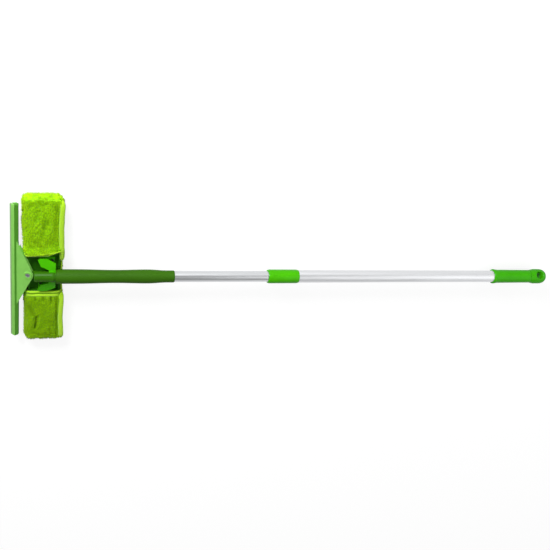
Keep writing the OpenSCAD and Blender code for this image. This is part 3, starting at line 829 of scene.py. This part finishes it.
def strand_points(root, tip, out, rng):
    """Three corners round each root and one point at each tip, with the normals that shade them."""
    count = len(root)
    run = unit(tip - root)
    side_a = unit(np.cross(run, rng.normal(0, 1, (count, 3))))
    side_b = np.cross(run, side_a)
    width = PILE_WIDTH * rng.uniform(*STRAND_THICK, count)[:, None]
    verts = np.empty((count, 4, 3))
    for k in range(3):
        angle = 2 * math.pi * k / 3
        verts[:, k] = root + (side_a * math.cos(angle) + side_b * math.sin(angle)) * width
    verts[:, 3] = tip
    lie = verts - root[:, None]
    lie[:, 3] = out
    return verts, out[:, None] * PILE_SKIN + unit(lie) * (1 - PILE_SKIN)


def spikes(name, verts, normals, painted_shade):
    """A mesh of many spikes, with each strand's root-to-tip value, its painted shade and its own patch
    in the bake map.
    """
    count = len(verts)
    base = np.arange(count)[:, None] * 4
    faces = np.stack([np.hstack([base + k, base + (k + 1) % 3, base + 3]) for k in range(3)], 1)
    data = bpy.data.meshes.new(name)
    data.vertices.add(count * 4)
    data.vertices.foreach_set("co", verts.astype(np.float32).ravel())
    data.loops.add(faces.size)
    data.loops.foreach_set("vertex_index", faces.astype(np.int32).ravel())
    data.polygons.add(count * 3)
    data.polygons.foreach_set("loop_start", np.arange(0, faces.size, 3, dtype=np.int32))
    data.polygons.foreach_set("use_smooth", np.ones(count * 3, bool))
    data.update(calc_edges=True)
    along = data.attributes.new("along", "FLOAT", "POINT")
    along.data.foreach_set("value", np.tile([0, 0, 0, 1], count).astype(np.float32))
    shade_layer = data.attributes.new("painted_shade", "FLOAT", "POINT")
    shade_layer.data.foreach_set("value", np.repeat(painted_shade, 4).astype(np.float32))
    cells = math.ceil(math.sqrt(count))
    strand = np.repeat(np.arange(count), 9)
    corner = np.tile([0, 1, 2], count * 3)
    u = (strand % cells + PATCH_ROOM + PATCH_SIZE * np.array([0, 1, 0.5])[corner]) / cells
    v = (strand // cells + PATCH_ROOM + PATCH_SIZE * np.array([0, 0, 1])[corner]) / cells
    layer = data.uv_layers.new(name="OFBake")
    layer.data.foreach_set("uv", np.stack([u, v], 1).astype(np.float32).ravel())
    data.normals_split_custom_set_from_vertices(normals.reshape(-1, 3))
    data.materials.append(pile_colour)
    return add_object(name, data)


def make_sleeve():
    """The sleeve's padded backing and the pile of its two arms."""
    cloth = make_cloth()
    settle(cloth)
    detail = cloth.modifiers.new("detail", "SUBSURF")
    detail.levels = detail.render_levels = 1
    apply_modifiers(cloth)
    worn = under_plate(wrinkle(points_of(cloth), normals_of(cloth)), PLATE_ROOM)
    set_points(cloth, clear_of_bar(worn))
    arms = [grow_pile(cloth, side, seed) for side, seed in ((1, 11), (-1, 12))]
    wall = cloth.modifiers.new("wall", "SOLIDIFY")
    wall.thickness = CLOTH_T
    wall.offset = -1
    apply_modifiers(cloth)
    dress(cloth, backing)
    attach(cloth, "head")
    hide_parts("scrubber_sleeve")
    for arm in arms:
        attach(arm, "head")


# What is sewn to the sleeve, and the foam

def tube(name, path, across, high, sides, closed=True):
    """The mesh of a flat-oval tube along a path of points; an open one tapers to round ends."""
    count = len(path)
    verts, faces = [], []
    for i, p in enumerate(path):
        ahead, behind = path[(i + 1) % count], path[i - 1]
        if not closed:
            ahead, behind = path[min(i + 1, count - 1)], path[max(i - 1, 0)]
        run = (ahead - behind).normalized()
        lift = Vector((0, 0, 1)) if abs(run.z) < 0.8 else Vector((0, 1, 0))
        flat = run.cross(lift).normalized()
        lift = flat.cross(run).normalized()
        from_end = min(i, count - 1 - i)
        size = 1.0 if closed else math.sqrt(min(1.0, (from_end + END_TIP) / END_STEPS))
        for k in range(sides):
            angle = 2 * math.pi * k / sides
            verts.append(p + (flat * across * math.cos(angle) + lift * high * math.sin(angle)) * size)
    for i in range(count if closed else count - 1):
        for k in range(sides):
            j, m = (i + 1) % count, (k + 1) % sides
            faces.append((i * sides + k, j * sides + k, j * sides + m, i * sides + m))
    if not closed:
        faces.append(tuple(range(sides)))
        faces.append(tuple(reversed(range((count - 1) * sides, count * sides))))
    return mesh_of(name, verts, faces)


def waver(p, size):
    """A small wandering offset, so that nothing sewn is ruled straight."""
    at = p * SEWN_WAVES
    return Vector((noise.noise(at), noise.noise(at + Vector((5, 0, 0))),
                   noise.noise(at + Vector((0, 5, 0))))) * size


def even(corners, step, closed):
    """Points at even steps along a run of corners, wandering a little and smoothed."""
    path = []
    for p, q in zip(corners, corners[1:] + corners[:1] if closed else corners[1:]):
        steps = max(1, int((q - p).length / step))
        path += [p.lerp(q, k / steps) for k in range(steps)]
    if not closed:
        path.append(corners[-1])
    path = [p + waver(p, SEWN_WAVER) for p in path]
    for _ in range(3):
        inner = [(path[i - 1] + path[i] * 2 + path[(i + 1) % len(path)]) / 4
                 for i in range(len(path))]
        path = inner if closed else [path[0]] + inner[1:-1] + [path[-1]]
    return path


def laid(p):
    """A point of the square sleeve, moved to where it lies on the worn one."""
    return p + Vector((CLOTH_SHIFT - CLOTH_SKEW * p.y, drawn_back(p), 0))


def on_edge(p):
    """A point of the cut-out's edge, out on the widened side and up on the cloth's ridge."""
    moved = laid(p)
    moved.x -= CLOTH_WIDE * max(0.0, -p.x) / CLOTH_HALF[0]
    moved.z -= fold_depth(np.array([moved]))[0]
    return moved


def make_binding():
    """The sewn edge of the cut-out: a rolled piping, and the band behind it that shows on one arm."""
    x = CLOTH_HALF[0] - PIPING_OUT
    y = CUTOUT_HALF + PIPING_OUT
    top = sleeve_high.z - PILE_ROOM + PIPING_UP
    low = CUTOUT_FLOOR + PIPING_OUT
    r = CLOTH_R

    def edge(sign_x, sign_y, reverse):
        """One corner of the opening: up the side wall's end and over onto the back."""
        points = [Vector((sign_x * x, sign_y * (y - PIPING_HANG), low)),
                  Vector((sign_x * x, sign_y * y, low))]
        points += [Vector((sign_x * (x - r + r * math.cos(a)), sign_y * y, top - r + r * math.sin(a)))
                   for a in [math.pi / 2 * k / 6 for k in range(7)]]
        return points[::-1] if reverse else points

    corners = edge(1, 1, False) + edge(-1, 1, True) + edge(-1, -1, False) + edge(1, -1, True)
    around = even([on_edge(p) for p in corners], SEWN_STEP, True)
    across = [on_edge(Vector((share * (x - BAND_SHORT), -(y + BAND_IN),
                              top - BAND_SUNK - BAND_FALL * abs(share) ** 5)))
              for share in [k / 10 - 1 for k in range(21)]]
    made = sewn("sleeve_binding", [
        tube("piping", around, PIPING_HALF, PIPING_HIGH, 10),
        tube("band", even(across, SEWN_STEP, False), BAND_HALF, BAND_HIGH, 14, False)])
    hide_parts("sleeve_hem")


def make_seams():
    """The rolled seam that runs from the cut-out to the end of each arm, on the pole's side."""
    parts = []
    first_dip, last_dip = SEAM_DIPS
    for sign, start in SEAM_STARTS:
        line = []
        for share in [k / 20 for k in range(21)]:
            bow = SEAM_ROLL * SEAM_BOW * (1 - math.cos(share * math.pi * 2)) * 0.5
            dip = last_dip * share ** 12 + first_dip * max(0.0, 1 - share * 5) ** 2
            y = sign * (start + share * (CUTOUT_HALF + SEAM_RUN - start))
            line.append(laid(Vector((SEAM_X - bow, y, SEAM_Z - dip * MM))))
        parts.append(tube("seam", even(line, SEAM_STEP, False),
                          SEAM_ROLL, SEAM_ROLL * SEAM_FLAT, 14, False))
    sewn("sleeve_seams", parts)


def sewn(name, meshes):
    """Tubes of tape put into one object that rides with the sleeve."""
    both = bmesh.new()
    for mesh in meshes:
        both.from_mesh(mesh)
        bpy.data.meshes.remove(mesh)
    made = add_object(name, mesh_from(name, both))
    dress(made, tape)
    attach(made, "head")
    return made


def make_foam():
    """The foam under the bar, with soft edges."""
    low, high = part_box("pad_foam")
    half = [(high.x - low.x) / 2, (high.y - low.y) / 2, (high.z - low.z) / 2]
    middle = Vector(((low.x + high.x) / 2, (low.y + high.y) / 2, (low.z + high.z) / 2))
    grid = box_grid(half, FOAM_STEP)
    for v in grid.verts:
        v.co = rounded(v.co, half, FOAM_R) + middle
    made = add_object("foam_pad", mesh_from("foam_pad", grid))
    dress(made, foam_cells)
    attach(made, "head")
    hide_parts("pad_foam")


# Stage, light and camera

def seen_straight(tree):
    """1 for rays that show the background itself: camera, glossy and transmission rays."""
    rays = tree.nodes.new("ShaderNodeLightPath").outputs
    straight = maths(tree, "MAXIMUM", rays["Is Camera Ray"], rays["Is Glossy Ray"])
    return maths(tree, "MAXIMUM", straight, rays["Is Transmission Ray"])


def make_stage():
    """The floor: a plain grey that the object shades, and the white that straight rays see."""
    r = FLOOR_HALF
    floor = add_object("floor", mesh_of("floor", [(-r, -r, 0), (r, -r, 0), (r, r, 0), (-r, r, 0)],
                                        [(0, 1, 2, 3)]))
    material = bpy.data.materials.new("floor")
    material.use_nodes = True
    tree = material.node_tree
    tree.nodes.clear()
    out = tree.nodes.new("ShaderNodeOutputMaterial")
    diffuse = tree.nodes.new("ShaderNodeBsdfDiffuse")
    diffuse.inputs["Color"].default_value = (FLOOR_GREY, FLOOR_GREY, FLOOR_GREY, 1)
    glow = tree.nodes.new("ShaderNodeEmission")
    tree.links.new(maths(tree, "MULTIPLY", seen_straight(tree), FLOOR_GLOW), glow.inputs["Strength"])
    both = tree.nodes.new("ShaderNodeAddShader")
    tree.links.new(diffuse.outputs["BSDF"], both.inputs[0])
    tree.links.new(glow.outputs["Emission"], both.inputs[1])
    tree.links.new(both.outputs["Shader"], out.inputs["Surface"])
    floor.data.materials.append(material)


def make_light():
    """Straight rays see white walls under a ceiling that is grey over the head; the other rays bring
    soft light in from one side. Two area lamps add to it."""
    world = bpy.data.worlds.new("studio")
    bpy.context.scene.world = world
    world.use_nodes = True
    tree = world.node_tree
    background = tree.nodes["Background"]
    background.inputs["Color"].default_value = (1, 1, 1, 1)
    coords = tree.nodes.new("ShaderNodeTexCoord")
    axes = tree.nodes.new("ShaderNodeSeparateXYZ")
    tree.links.new(coords.outputs["Generated"], axes.inputs["Vector"])

    def spread(share, at, values):
        """A strength that changes with a direction's share along an axis."""
        node = tree.nodes.new("ShaderNodeMapRange")
        for key, value in zip(("From Min", "From Max", "To Min", "To Max"), at + values):
            node.inputs[key].default_value = value
        node.interpolation_type = "SMOOTHSTEP"
        tree.links.new(share, node.inputs["Value"])
        return node.outputs["Result"]

    towards = dot_with(tree, coords.outputs["Generated"], SKY_FROM)
    room = maths(tree, "MAXIMUM",
                 spread(axes.outputs["Z"], CEILING_RISE, (WALL_WHITE, CEILING_GREY)),
                 spread(axes.outputs["X"], FAR_START, (CEILING_GREY, FAR_WHITE)))
    strength = tree.nodes.new("ShaderNodeMix")
    tree.links.new(seen_straight(tree), strength.inputs["Factor"])
    tree.links.new(spread(towards, (-1.0, 1.0), SKY_LIGHT), strength.inputs["A"])
    tree.links.new(room, strength.inputs["B"])
    tree.links.new(strength.outputs["Result"], background.inputs["Strength"])
    for name, place, power, size in LAMPS:
        lamp = bpy.data.lights.new(name, "AREA")
        lamp.energy = power
        lamp.size = size
        made = add_object(name, lamp)
        made.location = place
        made.rotation_mode = "QUATERNION"
        made.rotation_quaternion = (LAMP_AIM - place).to_track_quat("-Z", "Y")


def make_camera():
    data = bpy.data.cameras.new("camera")
    data.lens = LENS_MM
    data.sensor_width = SENSOR_MM
    data.clip_start, data.clip_end = 0.01, 50
    made = add_object("camera", data)
    back = CAMERA_RIGHT.cross(CAMERA_UP).normalized()
    turn = Matrix((CAMERA_RIGHT.normalized(), CAMERA_UP.normalized(), back)).transposed()
    made.matrix_world = Matrix.Translation(CAMERA_PLACE) @ turn.to_4x4()
    bpy.context.scene.camera = made


make_camera()
make_stage()
make_light()
dress_cad_nodes()
make_sleeve()
make_binding()
make_seams()
make_foam()

bpy.context.scene.view_settings.view_transform = "Standard"
